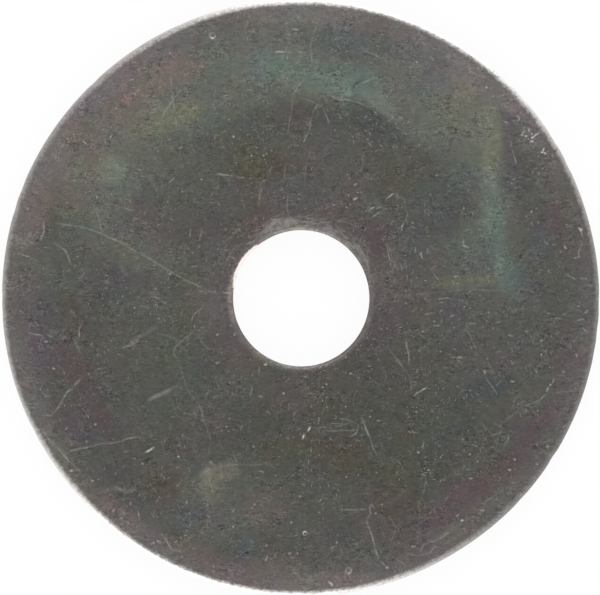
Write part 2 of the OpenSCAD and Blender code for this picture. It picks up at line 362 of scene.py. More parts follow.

# Short nicks on the top face, by region: x, y and length in pixels of the photograph, turn and brightness.
# A brightness well above 1 is a painted glint
NICKS = {
    "upper left": [
        (216, 17, 3, 0, .5), (138, 69, 3, 40, .8), (131, 79, 6, 10, .6), (133, 87, 5, 10, .5),
        (99, 96, 4, 30, .4), (84, 142, 6, -40, .6), (67, 138, 3, 0, .5), (295, 29, 8, 0, .6),
        (247, 38, 5, 90, .4), (250, 38, 5, 90, .4), (282, 56, 7, 80, .4), (287, 57, 5, 75, .4),
        (233, 136, 2, 0, 1.5), (181, 147, 2, 0, .6), (271, 150, 2, 0, .5), (297, 145, 2, 0, .5),
    ],
    "upper right": [
        (382, 34, 2, 0, .6), (386, 50, 3, 20, .5), (346, 51, 3, 0, .5), (313, 21, 3, 0, .5),
        (414, 132, 3, 0, .5), (445, 100, 3, 0, .5), (404, 147, 2, 0, .5), (432, 58, 8, -50, .4),
        (396, 146, 5, -50, .4), (486, 87, 3, 0, .9), (423, 131, 14, 0, .2),
    ],
    "bits by the upper right rim": [
        (521.5, 134, 3, 20, .9), (525.5, 135.5, 4, 0, 1.6), (523, 132, 4, 10, .5), (528.5, 129.5, 5, 85, .9),
        (531, 133, 4, -60, .8), (531.5, 137, 3, 20, 1.6), (528, 138, 4, -60, .5), (531, 141, 5, 10, 1.8),
        (539.5, 132.5, 3, 20, 1.3), (543, 134.5, 5, -40, .6), (543, 149, 5, 75, 1.3),
        (544.5, 152.5, 3, -30, 1.6), (541.5, 151.5, 3, 10, 1.3), (547, 151, 4, 10, .5),
        (534, 145, 8, 60, .3), (538, 156, 4, 0, .4), (552, 155, 6, 80, .4), (510.5, 144, 6, 80, .3),
    ],
    "left": [
        (13, 229, 11, 100, .6), (12, 242, 8, 95, .6), (77, 256, 4, 0, .6), (135, 218, 6, -25, .4),
        (27, 208, 3, 0, .9), (25, 269, 2, 0, .5), (107, 282, 2, 0, .5), (139, 169, 3, 0, .5),
        (37, 192, 6, -60, .3), (75, 180, 7, 0, .3), (82, 275, 9, 55, .3), (46, 247, 8, -10, .3),
        (73, 312, 4, -40, .4), (36, 323, 8, -55, .3), (21, 311, 7, -35, .3), (13, 328, 11, 0, .25),
    ],
    "above the bore": [
        (250, 178, 2, 0, .7), (201, 179, 2, 0, .6), (171, 180, 8, 40, .4), (263, 155, 2, 0, .9),
        (266, 153, 2, 0, .5), (273, 161, 2, 0, .5), (292, 165, 2, 0, .5), (298, 194, 2, 0, .5),
        (219, 204, 2, 0, .5), (284, 172, 14, 85, .2), (270, 169, 7, 55, .3),
    ],
    "left of the bore": [
        (237, 253, 3, 30, .5), (241, 259, 3, 50, .5), (222, 271, 3, 0, .5), (229, 265, 4, 40, .4),
        (194, 266, 8, 10, .4), (155, 297, 10, -15, .4), (168, 278, 5, 90, .4), (201, 290, 5, 0, .2),
    ],
    "right of the bore": [
        (347, 174, 3, 0, .6), (349, 178, 3, 90, .6), (355, 184, 6, 30, .6), (355, 198, 6, 30, 1),
        (348, 195, 3, 80, .6), (346, 207, 3, 0, .6), (350, 204, 3, 30, .6), (412, 222, 3, 0, .9),
        (413, 227, 3, 60, .5), (397, 205, 3, 0, .5), (421, 255, 8, -80, .6), (415, 249, 8, 80, .4),
        (427, 250, 8, 85, .4), (426, 227, 6, 45, .4), (428, 214, 6, -70, .4), (430, 194, 2, 0, .6),
        (436, 175, 2, 0, .6), (384, 173, 2, 0, .5), (448, 185, 2, 0, .5), (399, 238, 4, 75, .4),
        (436, 277, 9, -50, .4), (411, 282, 10, -85, .3), (443, 298, 13, 8, .4),
    ],
    "right": [
        (463, 208, 3, 0, .8), (456, 276, 7, 5, .6), (526, 216, 3, 40, .6), (531, 211, 3, 40, .9),
        (536, 208, 3, 30, .5), (535, 168, 5, 0, .5), (532, 172, 5, 90, .4), (538, 173, 5, 80, .5),
        (542, 168, 2, 0, .6), (546, 243, 5, -40, .6), (538, 222, 2, 0, .6), (528, 229, 4, -30, .5),
        (565, 247, 5, -50, 1.4), (560, 251, 2, 0, .6), (583, 278, 8, 0, .4), (548, 270, 2, 0, .5),
        (566, 224, 2, 0, .5), (571, 204, 2, 0, .5), (518, 292, 6, 60, .4),
    ],
    "lower left": [
        (46, 341, 5, 0, .9), (53, 368, 5, -20, .8), (46, 311, 2, 0, .5), (40, 389, 2, 0, .5),
        (60, 419, 3, 0, .5), (128, 377, 2, 0, .5), (104, 352, 5, 90, .4), (108, 350, 5, 90, .4),
        (44, 394, 10, -45, .3), (90, 426, 4, 30, .4), (95, 424, 2, 0, .9), (86, 441, 3, 0, .6),
        (66, 428, 6, 40, .4), (71, 470, 5, 0, .9), (92, 480, 4, 0, .9), (98, 479, 3, 0, .4),
        (110, 494, 3, 0, .5), (115, 473, 4, 70, .6), (104, 468, 5, 80, .4), (126, 451, 7, 20, .4),
        (134, 458, 4, 0, .5), (142, 463, 2, 0, .9), (113, 510, 5, 60, 1), (121, 518, 5, 0, .6),
        (130, 503, 5, 80, .6), (80, 491, 4, -50, .7),
    ],
    "below the bore": [
        (217, 334, 4, 30, .8), (230, 325, 3, 60, .7), (234, 334, 4, 80, .9), (194, 326, 3, 90, .6),
        (265, 364, 5, 15, 1), (283, 393, 2, 0, 1), (260, 396, 5, 10, .6), (229, 418, 2, 0, .6),
        (226, 426, 3, 20, .7), (221, 430, 3, 0, .6), (233, 429, 4, 10, .4), (241, 427, 7, 65, .3),
        (182, 435, 4, 80, .5), (287, 380, 7, 40, .3), (156, 357, 4, 10, .5), (217, 362, 7, 10, .4),
        (228, 371, 3, 0, .4), (202, 420, 5, 0, .4), (253, 446, 3, 90, .7), (268, 412, 7, -35, .3),
        (294, 413, 6, 60, .4), (288, 438, 3, 0, .4), (293, 437, 3, 0, .4), (158, 318, 2, 0, .6),
    ],
    "lower middle": [
        (350, 373, 4, 0, .8), (322, 387, 3, 0, .8), (326, 384, 4, -50, .6), (378, 420, 5, 0, .7),
        (365, 411, 3, 0, .4), (371, 410, 3, 0, .5), (422, 331, 3, 0, .9), (419, 350, 4, 0, .6),
        (434, 321, 2, 0, .7), (436, 325, 8, 0, .4), (441, 321, 5, 80, .4), (441, 302, 6, 0, .5),
        (435, 392, 4, 0, .4), (443, 388, 3, 0, .5), (437, 417, 3, 0, .7), (416, 411, 2, 0, .6),
        (373, 302, 4, 30, .7), (428, 313, 10, 15, .3), (411, 432, 9, -12, .3), (418, 452, 3, 0, .9),
    ],
    "lower right": [
        (541, 340, 5, 40, .6), (541, 354, 3, 80, 1), (510, 335, 7, -20, .6), (526, 331, 5, -10, .6),
        (512, 363, 5, 55, .6), (512, 381, 6, 0, .7), (484, 371, 5, -70, .6), (487, 358, 4, 20, .5),
        (459, 357, 6, 0, .7), (452, 315, 5, 20, .7), (488, 312, 3, 0, .5), (457, 386, 3, 0, .5),
        (557, 318, 9, 0, .4), (548, 313, 5, 0, .4), (564, 314, 5, 20, .5), (472, 323, 8, 0, .4),
        (497, 322, 7, 15, .4), (586, 311, 6, 45, .7), (580, 319, 9, 10, .4), (578, 306, 5, 0, .5),
        (573, 341, 4, 0, .5), (576, 355, 5, -60, .6), (583, 359, 4, 0, .6), (563, 371, 4, 0, .5),
        (564, 421, 5, 30, .6), (547, 446, 4, 0, 1), (537, 410, 3, 0, .6), (474, 445, 8, -20, .4),
    ],
    "bottom left": [
        (178, 456, 3, 10, 1), (178, 484, 8, 45, .4), (186, 502, 5, 80, .6), (189, 513, 4, -80, .5),
        (187, 530, 4, 10, .6), (261, 471, 7, -20, .5), (254, 504, 4, -80, .7), (233, 510, 6, 60, .5),
        (233, 526, 5, 50, .6), (223, 530, 3, 0, .5), (299, 496, 3, 0, 1), (291, 522, 4, 20, .7),
        (289, 553, 5, 15, .8), (266, 545, 4, 80, .7), (266, 558, 7, 65, .6), (213, 566, 3, 90, .7),
        (213, 571, 3, 0, .9), (297, 553, 3, 90, .8), (158, 541, 6, -20, .9), (152, 543, 7, 40, .6),
        (175, 541, 7, 35, .4), (296, 573, 7, -10, .4),
    ],
    "bottom right": [
        (405, 485, 4, 0, .5), (376, 472, 3, 0, .5), (317, 501, 4, 0, .5),
        (303, 484, 5, 0, .4), (332, 547, 5, 10, .6), (336, 542, 4, 60, .7), (413, 546, 6, 0, .6),
        (361, 580, 4, 20, 1), (352, 583, 3, 0, .9), (387, 567, 5, 0, 1), (375, 513, 2, 0, .8),
        (424, 475, 6, -10, .35), (469, 454, 4, 0, .8), (477, 461, 4, 70, .6), (514, 459, 3, 0, 1),
        (509, 469, 5, 0, .8), (509, 470, 3, 60, .6), (536, 463, 3, 0, 1), (470, 478, 5, 0, .6),
        (506, 500, 3, 0, .8), (482, 510, 6, 0, .6), (462, 520, 5, 0, 1), (457, 515, 6, 55, .6),
    ],
}

# Where handling marks crowd: x, y, half sizes in pixels of the photograph and how many
CROWDS = {
    "left": (60, 320, 45, 70, 56),
    "left of the bore": (165, 320, 45, 55, 63),
    "upper left": (215, 95, 75, 45, 84),
    "upper right": (375, 95, 75, 45, 60),
    "above the bore": (290, 180, 65, 45, 50),
    "right of the bore": (400, 235, 38, 55, 84),
    "right rim": (548, 205, 25, 70, 63),
    "right": (530, 330, 45, 50, 77),
    "lower left": (120, 500, 50, 40, 63),
    "spot": (212, 482, 28, 26, 42),
    "bottom": (260, 545, 110, 26, 84),
    "middle below": (300, 430, 70, 40, 28),
    "lower right": (465, 470, 60, 50, 70),
}

# Ring dents: place in pixels, diameter and depth in mm, brightness of the bare edge and the azimuth of its
# painted highlight
DENTS = {
    "ring dent": (212, 35, 0.40, 0.030, 1.0, -90),
    "ring dent, low": (348, 570, 0.42, 0.024, 0.9, -70),
    "ring dent, lower middle": (304.5, 533, 0.30, 0.026, 1.3, 125),
}


def rough_line(points, pitch, stray, seed):
    """Points about that far apart along a line through these, which strays a little to either side."""
    found = []
    for (x0, y0), (x1, y1) in zip(points, points[1:]):
        steps = max(1, round(math.hypot(x1 - x0, y1 - y0) / pitch))
        found += [(x0 + (x1 - x0) * i / steps, y0 + (y1 - y0) * i / steps) for i in range(steps)]
    found.append(points[-1])
    shift = Vector((seed, 3.1, 7.7))
    return np.array([
        (x + stray * noise.noise(Vector((x, y, 0)) + shift),
         y + stray * noise.noise(Vector((y, x, 5)) + shift))
        for x, y in found
    ])


def ridge(gap, middle, half):
    """1 where the gap is at the middle, falling to 0 at that half width from it."""
    return np.clip(1 - np.abs(gap - middle) / half, 0, 1)


class Mark:
    """A groove along a line, with its brightness: well above 1 where a glint is painted on it, below 0 where
    it is painted dark.

    A light mark is one without lips, which strays less from its line and is evenly bright along it.
    """

    def __init__(self, points, kind, bright, light=False):
        width, self.depth = KINDS[kind]
        self.seed = rng.uniform(0, 50)
        self.line = rough_line(points, MARK_PITCH, LIGHT_STRAY if light else MARK_STRAY, self.seed)
        self.half = width / 2
        self.bright = bright
        self.light = light

    def rows(self):
        """Points along the groove's floor, edges and lips, on the flat beside it and beyond its ends."""
        way = np.gradient(self.line, axis=0)
        way /= np.maximum(np.linalg.norm(way, axis=1, keepdims=True), 1e-9)
        side = np.stack([-way[:, 1], way[:, 0]], 1)
        found = [self.line + side * self.half * share for share in MARK_ACROSS]
        for i, sign in ((0, -1), (-1, 1)):
            for on, out in MARK_ENDS:
                found.append(self.line[[i]] + (way[[i]] * sign * on + side[[i]] * out) * self.half)
        return np.concatenate(found)

    def measure(self, places):
        """Each place's distance from the line in half widths, and how far along it is, from 0 to 1."""
        gap = np.full(len(places), 1e9)
        along = np.zeros(len(places))
        for i, (a, b) in enumerate(zip(self.line, self.line[1:])):
            step = b - a
            t = np.clip(((places - a) @ step) / max(step @ step, 1e-12), 0, 1)
            d = np.linalg.norm(places - a - t[:, None] * step, axis=1)
            nearer = d < gap
            gap[nearer] = d[nearer]
            along[nearer] = (i + t[nearer]) / (len(self.line) - 1)
        return gap / self.half, along

    def press(self, places, height, bared):
        """Cuts the groove into the heights at these places, and paints it: bare zinc with a painted glint on
        a bright mark, a dark fill on a dark one, and painted shade beside it.
        """
        reach = self.half * MARK_REACH
        low_corner = self.line.min(0) - reach
        high_corner = self.line.max(0) + reach
        near = np.nonzero(((places > low_corner) & (places < high_corner)).all(1))[0]
        if not len(near):
            return
        gap, along = self.measure(places[near])
        length = np.linalg.norm(np.diff(self.line, axis=0), axis=1).sum()
        at_end = LIGHT_END_STRENGTH if self.light else END_STRENGTH
        strength = smooth(np.minimum(along, 1 - along) * length / END_FADE + at_end)
        if not self.light and self.bright < 1:
            patchy = np.array([noise.noise(Vector((self.seed, 1.8 * a * length, 0))) for a in along])
            strength *= np.clip(0.9 + 0.9 * patchy, 0.25, 1.4)
        groove = np.clip(1 - gap, 0, 1) * self.depth * strength
        lip = 0 if self.light else ridge(gap, LIP_AT, LIP_HALF) * self.depth * LIP_SHARE * strength
        before = height[near]
        raised = before + lip * (before >= 0)
        height[near] = np.where(groove > 0, np.minimum(before, -groove), raised)
        # Painted shade: a darker band just beyond the lips, the darker the brighter the mark
        edge_shade = -ridge(gap, EDGE_SHADE_AT, EDGE_SHADE_HALF) * EDGE_SHADE_SHARE * min(abs(self.bright), 1)
        # Bare zinc along the groove, which is a painted glint where the brightness is well above 1
        metal = np.clip(BARE_AND_GLINT_REACH - gap, 0, 1) * self.bright
        shine = np.where(gap < BARE_AND_GLINT_REACH, metal, edge_shade) * strength
        bared[near] = np.where(np.abs(shine) > np.abs(bared[near]), shine, bared[near])


class Dent:
    """A shallow round dent with bare zinc round its edge and a painted highlight on one side: centre,
    diameter, depth, brightness and the side of the highlight.
    """

    def __init__(self, x, y, width, depth, bright, side=0):
        self.side = np.array((math.cos(math.radians(side)), math.sin(math.radians(side))))
        self.centre = np.array((x, y))
        self.half = width / 2
        self.depth = depth
        self.bright = bright
        self.turn = rng.uniform(0, 360)

    def rows(self):
        """Rings of points out to the flat face."""
        rings = [(0.0, 1), (0.35, 8), (0.65, 12), (0.9, 16), (1.1, 16), (1.4, 16)]
        return np.array([
            (self.centre[0] + self.half * share * math.cos(math.radians(self.turn + 360 * i / count)),
             self.centre[1] + self.half * share * math.sin(math.radians(self.turn + 360 * i / count)))
            for share, count in rings for i in range(count)
        ])

    def press(self, places, height, bared):
        """Presses the dent into the heights at these places, bares the zinc round its edge and paints its
        highlight side brighter.
        """
        gap = np.linalg.norm(places - self.centre, axis=1) / self.half
        near = gap < 1.5
        bowl = np.clip(1 - gap[near] ** 2, 0, 1) * self.depth
        height[near] = np.minimum(height[near], np.where(bowl > 0, -bowl, height[near]))
        # Painted highlight: the edge is brighter on the side that faces the given azimuth
        toward_highlight = (places[near] - self.centre) @ self.side / self.half / np.maximum(gap[near], 0.1)
        edge = ridge(gap[near], 0.85, 0.4) * self.bright * (0.6 + 0.4 * toward_highlight)
        bared[near] = np.maximum(bared[near], edge)


def random_mark(x, y, longest, bright):
    """A short, bent scratch at a random angle there. Most of them are short and faint."""
    way = rng.uniform(0, math.pi)
    bend = rng.uniform(-0.3, 0.3)
    half = longest * rng.uniform(0.3, 1) ** 2 / 2
    ends = [(x - half * math.cos(way - bend), y - half * math.sin(way - bend)), (x, y),
            (x + half * math.cos(way + bend), y + half * math.sin(way + bend))]
    return Mark(ends, "tick", bright * rng.uniform(0.3, 1) ** 2, light=True)


def random_marks(count, inner, outer, longest, bright):
    """Random scratches spread over a whole face."""
    found = []
    for _ in range(count):
        r = math.sqrt(rng.uniform((inner + longest / 2) ** 2, (outer - longest / 2) ** 2))
        a = rng.uniform(0, 2 * math.pi)
        found.append(random_mark(r * math.cos(a), r * math.sin(a), longest, bright))
    return found


def crowd_marks(inner, outer):
    """Random scratches where the photograph shows handling marks crowded together."""
    found = []
    for x, y, half_x, half_y, count in CROWDS.values():
        for _ in range(count):
            r, a = math.sqrt(rng.uniform(0, 1)), rng.uniform(0, 2 * math.pi)
            place = at(x + half_x * r * math.cos(a), y + half_y * r * math.sin(a))
            if inner + CROWD_MARGIN < math.hypot(*place) < outer - CROWD_MARGIN:
                found.append(random_mark(*place, longest=0.40, bright=0.38))
    return found


def scuffs(count, first, last, inner, outer):
    """Short scratches that run round the bore, between two azimuths and two radii."""
    found = []
    for _ in range(count):
        middle, half = math.radians(rng.uniform(first, last)), rng.uniform(0.03, 0.16)
        r, drift = rng.uniform(inner, outer), rng.uniform(-0.25, 0.25)
        line = [(middle + half * t, r + drift * t) for t in (-1, 0, 1)]
        points = [(d * math.cos(a), d * math.sin(a)) for a, d in line]
        found.append(Mark(points, "tick", rng.uniform(0.05, 0.28), light=True))
    return found


def nick(x, y, length, turn, bright):
    """A short mark given by its middle, length and turn in the photograph."""
    across = max(length - NICK_BLUR, SHORTEST_NICK) / 2 * math.cos(math.radians(turn))
    up = max(length - NICK_BLUR, SHORTEST_NICK) / 2 * math.sin(math.radians(turn))
    kind = "deep" if bright > 0.85 else "plain" if bright > 0.55 else "fine"
    return Mark([at(x - across, y + up), at(x + across, y - up)], kind, bright, light=True)


def roll_arc(width, drop, steps):
    """The rolled edge as (distance from the wall, drop below the face) pairs, from face to wall."""
    radius = (width * width + drop * drop) / (2 * drop)
    last = math.asin(width / radius)
    return [
        (width - radius * math.sin(last * i / steps), radius * (1 - math.cos(last * i / steps)))
        for i in range(steps + 1)
    ]


def wear_radius(angle, z):
    """How far from the bore's axis the worn place reaches at this angle and height."""
    off_centre = WEAR_W / (1 - math.cos(math.radians(WEAR_HALF_SPAN)))
    radius = BORE_R + WEAR_W - off_centre + WEAR_W / WEAR_H * (z - THICK)
    turn = math.radians(angle - WEAR_ANGLE)
    inside = radius ** 2 - (off_centre * math.sin(turn)) ** 2
    if inside <= 0 or math.cos(turn) < 0:
        return 0.0
    return off_centre * math.cos(turn) + math.sqrt(inside)


def outline_stray(angle, outward):
    """How far the rim's outline strays from a true circle at this angle."""
    if outward < 0:
        return 0.0
    return sum(far * float(smooth(1 - abs((angle - middle + 180) % 360 - 180) / half))
               for middle, half, far in OUTLINE.values())


class Shape:
    """The washer's mesh while it is made: places in mm, faces, and what each vertex is part of."""

    def __init__(self):
        self.places, self.faces, self.ring = [], [], []
        self.values = {name: [] for name in ZONES}

    def add(self, place, ring=0, **values):
        """Adds a vertex and returns its number."""
        self.places.append(place)
        self.ring.append(ring)
        for name, found in self.values.items():
            found.append(values.get(name, 0.0))
        return len(self.places) - 1


def uneven(wall, part, angle, seed):
    """The size of that part of a wall's section at this angle."""
    sways = (share * sway(angle, waves, seed + shift) for share, waves, shift in UNEVEN[part])
    return wall[part] * sum(sways, 1)


def wall_rows(wall, angle, seed):
    """One wall's section, from the face down: distance into the metal, drop, zones and sharp ring."""
    width = uneven(wall, "roll_w", angle, seed)
    drop = uneven(wall, "roll_h", angle, seed)
    land_end = wall["roll_h"] + uneven(wall, "land_h", angle, seed)
    rows = [(into, down, {"rolled": i / ROLL_STEPS, "upper": 1.0}, 1 if i == ROLL_STEPS else 0)
            for i, (into, down) in enumerate(roll_arc(width, drop, ROLL_STEPS))]
    straight = [(0.0, drop + (land_end - drop) * share, {"land": 1.0}, 0) for share in (0.08, 0.5, 0.92)]
    rows += straight + [(0.0, land_end, {"land": 1.0}, 2)]
    tear_h = THICK - EDGE_BREAK - land_end
    for i in range(1, TEAR_STEPS + 1):
        share = i / TEAR_STEPS
        ragged = RAGGED_TEAR * sway(angle, RAGGED_WAVES, seed + 21 + 2 * share) * min(1, 3 * share)
        ring = 3 if i == TEAR_STEPS else 0
        rows.append((wall["tear_w"] * share + ragged, land_end + tear_h * share, {"torn": 1.0}, ring))
    rows.append((wall["tear_w"] + EDGE_BREAK, THICK, {"torn": 1.0}, 4))
    return rows


def random_dings(count, azimuths, widths, depths, drops):
    """Dings in a wall: azimuth, half width, depth and drop below the face, each from its range."""
    return [tuple(rng.uniform(*reach) for reach in (azimuths, widths, depths, drops)) for _ in range(count)]


def dinged(r, radius, outward, angle, down, dings):
    """The distance from the axis after the dings have pressed a wall in at this angle and drop."""
    for ding_angle, ding_w, ding_depth, ding_drop in dings:
        turn = (angle - ding_angle + 180) % 360 - 180
        across = math.radians(turn) * radius / ding_w
        up = (down - ding_drop) / ding_w
        near = max(0.0, 1 - across * across - 0.6 * up * up)
        r -= outward * ding_depth * near
    return r


def wall_column(shape, wall, radius, centre, outward, angle, seed, dings):
    """Adds the vertices of a wall's section at this angle, from the face down."""
    column = []
    for into, down, zones, ring in wall_rows(wall, angle, seed):
        z = THICK - down
        r = radius - outward * into + outline_stray(angle, outward)
        worn = wear_radius(angle, z) - r if outward < 0 else -1
        if worn > -WEAR_FADE:
            r = max(r, r + worn)
            full = WEAR_FULL_ABOVE if "rolled" in zones else WEAR_FULL_BELOW
            zones = {**zones, "worn": min(WEAR_MOST, (worn + WEAR_FADE) / (full + WEAR_FADE))}
        r = dinged(r, radius, outward, angle, down, dings)
        a = math.radians(angle)
        place = (centre[0] + r * math.cos(a), centre[1] + r * math.sin(a), z)
        column.append(shape.add(place, ring, **zones))
    return column


def make_wall(shape, wall, radius, centre, outward, steps, seed, dings):
    """Adds a wall. Returns its loop of vertices at the top face and the one at the underside."""
    columns = [wall_column(shape, wall, radius, centre, outward, 360 * i / steps, seed, dings)
               for i in range(steps)]
    for column, after in zip(columns, columns[1:] + columns[:1]):
        for k in range(len(column) - 1):
            quad = (column[k], column[k + 1], after[k + 1], after[k])
            shape.faces.append(quad if outward > 0 else quad[::-1])
    return [c[0] for c in columns], [c[-1] for c in columns]


def face_grid(inner, outer):
    """Points spread evenly over a face, with a little jitter."""
    found = []
    rows = round(2 * outer / ROW_PITCH)
    for j in range(-rows // 2, rows // 2 + 1):
        y = j * ROW_PITCH
        for i in range(-rows // 2, rows // 2 + 1):
            x = (i + 0.5 * (j % 2)) * FACE_PITCH
            if inner + GRID_MARGIN < math.hypot(x, y) < outer - GRID_MARGIN:
                found.append((x + rng.uniform(-JITTER, JITTER), y + rng.uniform(-JITTER, JITTER)))
    return found


def face_places(rim, bore, presses):
    """A face's points: its two loops, rows just inside them, an even grid and points along its marks."""
    rim_r = np.linalg.norm(rim, axis=1)
    bore_r = np.linalg.norm(bore, axis=1)
    inner, outer = bore_r.max(), rim_r.min()
    guards = [rim * ((rim_r - gap) / rim_r)[:, None] for gap in RIM_GUARDS]
    guards += [bore * ((bore_r + gap) / bore_r)[:, None] for gap in BORE_GUARDS]
    rows = np.concatenate([p.rows() for p in presses])
    r = np.linalg.norm(rows, axis=1)
    rows = rows[(r > inner + BORE_MARGIN) & (r < outer - RIM_MARGIN)]
    grid = np.concatenate([np.array(face_grid(inner, outer)), *guards])
    taken = {tuple(c) for c in np.floor(rows / CROWDED_CELL).astype(int)}
    grid = grid[[tuple(c) not in taken for c in np.floor(grid / CROWDED_CELL).astype(int)]]
    return np.concatenate([rim, bore, grid, rows])


def closed(first, count):
    """The edges of a closed loop of points that are numbered from the first."""
    return [(first + i, first + (i + 1) % count) for i in range(count)]


def make_face(shape, rim_loop, bore_loop, top, presses):
    """Adds a flat face between two loops, with its grooves and dents."""
    loops = rim_loop + bore_loop
    rim, bore = (np.array([shape.places[v][:2] for v in loop]) for loop in (rim_loop, bore_loop))
    places = [Vector(p) for p in face_places(rim, bore, presses).tolist()]
    edges = closed(0, len(rim)) + closed(len(rim), len(bore))
    made, _, triangles, origins, _, _ = delaunay_2d_cdt(places, edges, [], 0, 1e-4, True)
    flat = np.array([tuple(v) for v in made])
    height = np.zeros(len(flat))
    bared = np.zeros(len(flat))
    for press in presses:
        press.press(flat, height, bared)
    level = THICK if top else 0.0
    up = 1 if top else -1
    number, loop_of = [], []
    for i, (x, y) in enumerate(flat.tolist()):
        edge = min((o for o in origins[i] if o < len(loops)), default=None)
        if edge is None:
            number.append(shape.add((x, y, level + up * height[i]), bared=float(bared[i]), upper=float(top)))
            loop_of.append("")
        else:
            number.append(loops[edge])
            loop_of.append("rim" if edge < len(rim) else "bore")
    for a, b, c in triangles:
        # A triangle with all its corners on one loop fills the hole, or lies outside the rim
        if loop_of[a] and loop_of[a] == loop_of[b] == loop_of[c]:
            continue
        face = (number[a], number[b], number[c])
        shape.faces.append(face if top else face[::-1])


def top_presses():
    """What marks the top face: the marks that the photograph shows, and then the random ones."""
    inner, outer = BORE_R + FACE_MARGIN, RIM_R - FACE_MARGIN
    found = [Mark([at(*p) for p in points], kind, bright) for kind, bright, *points in MARKS.values()]
    found += [nick(*n) for region in NICKS.values() for n in region]
    found += [Dent(*at(x, y), *rest) for x, y, *rest in DENTS.values()]
    found += crowd_marks(inner, outer)
    found += random_marks(TOP_SCRATCHES, inner, outer, longest=0.45, bright=0.34)
    found += scuffs(BORE_SCUFFS, first=20, last=165, inner=BORE_R + 0.45, outer=BORE_R + 1.5)
    return found


def under_presses():
    """Random scratches and dents in the underside."""
    found = random_marks(UNDER_SCRATCHES, BORE_R + FACE_MARGIN, RIM_R - FACE_MARGIN, longest=3.0, bright=0.8)
    for _ in range(UNDER_DENTS):
        r, a = rng.uniform(6, 17), rng.uniform(0, 6.28)
        width = rng.uniform(0.3, 0.9)
        found.append(Dent(r * math.cos(a), r * math.sin(a), width, depth=0.02, bright=0.5))
    return found


def finished(shape):
    """The shape as an object in metres, with its zones as attributes and its walls' edges sharp."""
    mesh = bpy.data.meshes.new("washer_body")
    mesh.from_pydata([tuple(c * MM for c in p) for p in shape.places], [], shape.faces)
    mesh.update()
    for name, found in shape.values.items():
        mesh.attributes.new(name, "FLOAT", "POINT").data.foreach_set("value", found)
    mesh.shade_smooth()
    ends = np.zeros(len(mesh.edges) * 2, np.int32)
    mesh.edges.foreach_get("vertices", ends)
    ring = np.array(shape.ring)[ends.reshape(-1, 2)]
    sharp = (ring[:, 0] == ring[:, 1]) & (ring[:, 0] > 0)
    mesh.attributes.new("sharp_edge", "BOOLEAN", "EDGE").data.foreach_set("value", sharp)
    body = bpy.data.objects.new("washer_body", mesh)
    bpy.context.scene.collection.objects.link(body)
    return body


def make_washer():
    """The washer as one closed mesh: its two walls, and then the faces between them."""
    shape = Shape()
    rim_dings = random_dings(RIM_DINGS, azimuths=(0, 360), widths=(0.25, 0.7), depths=(0.01, 0.03),
                             drops=(0.1, 0.5))
    bore_dings = random_dings(BORE_DINGS, azimuths=(110, 200), widths=(0.12, 0.3), depths=(0.02, 0.05),
                              drops=(0.05, 0.3))
    rim_top, rim_foot = make_wall(shape, RIM_WALL, RIM_R, (0, 0), outward=1, steps=RIM_STEPS, seed=1.0,
                                  dings=rim_dings)
    bore_top, bore_foot = make_wall(shape, BORE_WALL, BORE_R, BORE_SHIFT, outward=-1, steps=BORE_STEPS,
                                    seed=60.0, dings=bore_dings)
    above, below = top_presses(), under_presses()
    make_face(shape, rim_top, bore_top, True, above)
    make_face(shape, rim_foot, bore_foot, False, below)
    return finished(shape)


washer = make_washer()


# Colours, as linear red, green and blue. The tints are those of the film; the bore highlight is a painted
# highlight and the haze at the rim is partly painted sheen.
ZINC = (0.60, 0.59, 0.55)
# Painted highlight: the colour of the rim's rolled edge where it is rubbed and lit, and of the marks'
# painted glints
RUB_AND_HIGHLIGHT_ZINC = (0.84, 0.83, 0.80)
WORN_ZINC = (0.95, 0.82, 0.77)
BRIGHT_ZINC = (1.0, 0.97, 0.95)
DULL_ZINC = (0.30, 0.295, 0.275)
# Dirt in the dark specks, and also the painted shade beside marks and the painted dark fill of dark marks
DIRT_AND_SHADE = (0.035, 0.034, 0.031)
TINTS = {
    "haze": (0.140, 0.143, 0.128),
    "arch": (0.148, 0.158, 0.135),
    "bore ring": (0.115, 0.103, 0.099),
    "rim haze and sheen": (0.178, 0.160, 0.156),
    "bore highlight": (0.225, 0.214, 0.205),
    "bore edge": (0.190, 0.172, 0.166),
    "brassy": (0.290, 0.240, 0.200),
    "dusk": (0.082, 0.083, 0.072),
    "olive": (0.096, 0.094, 0.082),
    "grey": (0.104, 0.102, 0.096),
    "grey green": (0.102, 0.110, 0.095),
    "dim": (0.088, 0.085, 0.084),
    "moss": (0.080, 0.090, 0.074),
    "khaki": (0.092, 0.088, 0.064),
    "umber": (0.092, 0.078, 0.062),
    "plum": (0.108, 0.080, 0.085),
    "purple": (0.112, 0.088, 0.108),
    "slate": (0.094, 0.104, 0.112),
    "sea": (0.084, 0.098, 0.094),
    "deep sea": (0.074, 0.084, 0.080),
    "teal": (0.112, 0.154, 0.130),
    "pale teal": (0.140, 0.182, 0.156),
    "pale green": (0.187, 0.210, 0.167),
    "leaf": (0.176, 0.185, 0.128),
    "straw": (0.150, 0.148, 0.112),
    "bright straw": (0.192, 0.182, 0.145),
    "rust": (0.180, 0.142, 0.120),
    "pale rust": (0.207, 0.162, 0.143),
    "rose": (0.185, 0.150, 0.145),
    "dusky rose": (0.152, 0.108, 0.116),
    "wine": (0.120, 0.084, 0.098),
    "mist": (0.172, 0.182, 0.168),
    "sulphur": (0.225, 0.222, 0.165),
    "lilac": (0.205, 0.172, 0.182),
    "mauve": (0.195, 0.150, 0.178),
    "pale": (0.150, 0.150, 0.146),
    "light grey": (0.180, 0.172, 0.165),
}

# Rings in the film, with painted sheen in the haze at the rim and a painted highlight round the bore: how
# far from the middle each begins and is at its full, in pixels of the photograph
RINGS = {
    "arch, inner side": (186, 204),
    "arch, outer side": (292, 256),
    "bore ring": (128, 84),
    "rim haze and sheen": (258, 302),
    "bore edge": (77, 70),
    "bore highlight": (85, 71),
    "brassy": (74, 70.5),
}

# Fields with a half size up to this, in pixels of the photograph, have an edge that wanders less
NARROW_FIELD = 13

